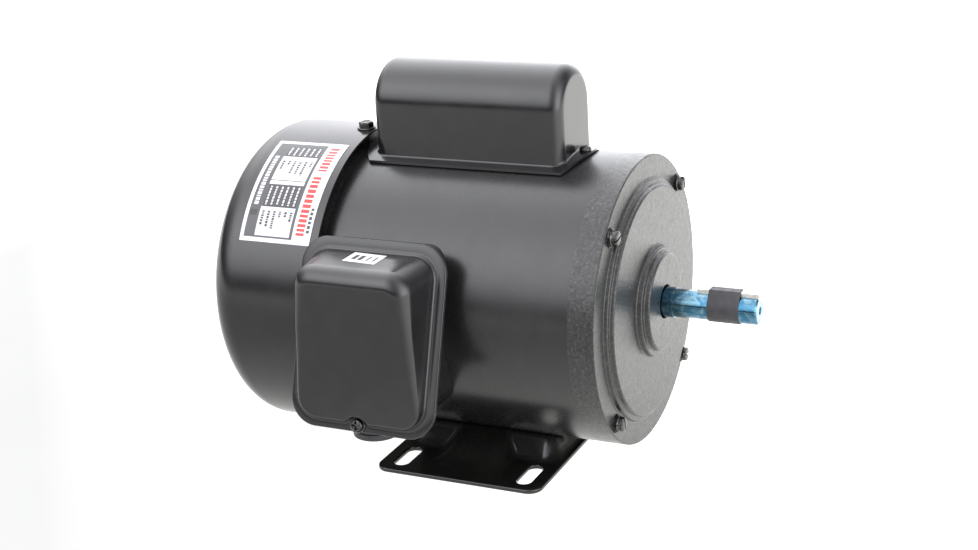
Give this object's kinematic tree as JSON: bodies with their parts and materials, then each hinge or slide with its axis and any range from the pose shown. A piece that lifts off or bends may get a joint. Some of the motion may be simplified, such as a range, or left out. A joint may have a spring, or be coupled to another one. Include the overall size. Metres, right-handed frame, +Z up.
{
  "type": "electric motor",
  "caption": "Foot-mounted single-phase electric motor: fan-cooled round frame, keyed shaft, capacitor cover on top, conduit box on the side, slotted sheet-steel base.",
  "frame": {"origin": "centre of the four foot slots, on the underside of the base", "axes": "+Z up; the shaft lies along Y with its free end towards -Y; the conduit box is on the -X side and the fan cover at +Y"},
  "size_m": [0.2082, 0.3031, 0.2218],
  "materials": {
    "black_paint": "smooth satin black paint on rolled and drawn steel",
    "cast_paint": "dark grey paint over a sand-cast surface",
    "base_paint": "glossy black paint on pressed steel",
    "dark_zinc": "black zinc plated",
    "bright_zinc": "bright zinc plated",
    "shaft_steel": "ground steel under blue protective lacquer",
    "bearing_steel": "ground bearing steel",
    "lamination": "stacked electrical steel",
    "cast_aluminium": "as cast",
    "spring_steel": "spring steel",
    "copper_wire": "enamelled copper wire, varnished",
    "brass": "turned brass",
    "black_plastic": "moulded",
    "lead_plastic": "wire insulation",
    "board": "phenolic board",
    "liner_paper": "polyester slot paper",
    "gasket_rubber": "sheet rubber",
    "label": "printed foil plate"
  },
  "bodies": {
    "housing": {"capacitor_clamp": "bright_zinc", "capacitor_cover": "black_paint", "capacitor_cover_screws": "dark_zinc", "capacitor_gasket": "gasket_rubber", "capacitor_leads": "lead_plastic", "capacitor_terminals": "brass", "conduit_box_base": "black_paint", "conduit_box_cover": "black_paint", "conduit_cover_gasket": "gasket_rubber", "conduit_cover_screw": "dark_zinc", "drive_end_bell": "cast_paint", "fan_cover": "black_paint", "fan_cover_screws": "dark_zinc", "fixed_contact": "brass", "foot_base": "base_paint", "front_bearing_outer_race": "bearing_steel", "ground_screw": "brass", "knockout_plug": "black_plastic", "lead_grommet": "gasket_rubber", "main_winding": "copper_wire", "motor_leads": "lead_plastic", "rating_plate": "label", "rear_bearing_outer_race": "bearing_steel", "rear_end_bell": "cast_paint", "slot_liners": "liner_paper", "start_capacitor": "black_plastic", "start_winding": "copper_wire", "stator_core": "lamination", "stator_shell": "black_paint", "switch_board": "board", "switch_pin": "bearing_steel", "switch_screws": "bright_zinc", "terminal_board": "board", "terminal_nuts": "brass", "terminal_studs": "brass", "through_bolt_nuts": "dark_zinc", "through_bolt_washers": "dark_zinc", "through_bolts": "dark_zinc", "wave_washer": "spring_steel"},
    "rotor": {"shaft": "shaft_steel", "shaft_key": "bright_zinc", "shaft_sleeve": "black_plastic", "rotor_core": "lamination", "rotor_cage": "cast_aluminium", "front_bearing_inner_race": "bearing_steel", "rear_bearing_inner_race": "bearing_steel", "governor_hub": "spring_steel", "governor_pins": "bearing_steel", "governor_spring": "spring_steel", "cooling_fan": "black_plastic", "fan_clip": "spring_steel"},
    "front_ball_set": {"front_bearing_balls": "bearing_steel", "front_bearing_cage": "spring_steel"},
    "rear_ball_set": {"rear_bearing_balls": "bearing_steel", "rear_bearing_cage": "spring_steel"},
    "governor_collar": {"governor_collar": "black_plastic"},
    "governor_weight_a": {"governor_weight_a": "bright_zinc"},
    "governor_weight_b": {"governor_weight_b": "bright_zinc"},
    "switch_arm": {"switch_arm": "spring_steel", "moving_contact": "brass"}
  },
  "joints": [
    {"name": "rotor_spin", "type": "hinge", "parent": "housing", "child": "rotor", "pos_m": [0, 0, 0.0889], "axis": [0, 1, 0], "continuous": true},
    {"name": "front_balls_spin", "type": "hinge", "parent": "housing", "child": "front_ball_set", "pos_m": [0, -0.088, 0.0889], "axis": [0, 1, 0], "continuous": true},
    {"name": "rear_balls_spin", "type": "hinge", "parent": "housing", "child": "rear_ball_set", "pos_m": [0, 0.094, 0.0889], "axis": [0, 1, 0], "continuous": true},
    {"name": "governor_slide", "type": "slide", "parent": "rotor", "child": "governor_collar", "axis": [0, -1, 0], "range_m": [0, 0.003], "stiffness_N_per_m": 800, "springref_m": -0.003},
    {"name": "weight_a_swing", "type": "hinge", "parent": "rotor", "child": "governor_weight_a", "pos_m": [0, 0.0685, 0.1179], "axis": [-1, 0, 0], "range_deg": [0, 19.2]},
    {"name": "weight_b_swing", "type": "hinge", "parent": "rotor", "child": "governor_weight_b", "pos_m": [0, 0.0685, 0.0599], "axis": [1, 0, 0], "range_deg": [0, 19.2]},
    {"name": "switch_arm_swing", "type": "hinge", "parent": "housing", "child": "switch_arm", "pos_m": [0, 0.077, 0.0389], "axis": [1, 0, 0], "range_deg": [0, 5.3]}
  ],
  "couplings": [
    {"joint": "front_balls_spin", "follows": "rotor_spin", "ratio": 0.3816},
    {"joint": "rear_balls_spin", "follows": "rotor_spin", "ratio": 0.3816},
    {"joint": "weight_a_swing", "follows": "governor_slide", "rad_per_m": 110},
    {"joint": "weight_b_swing", "follows": "governor_slide", "rad_per_m": 110},
    {"joint": "switch_arm_swing", "follows": "governor_slide", "rad_per_m": 30}
  ]
}
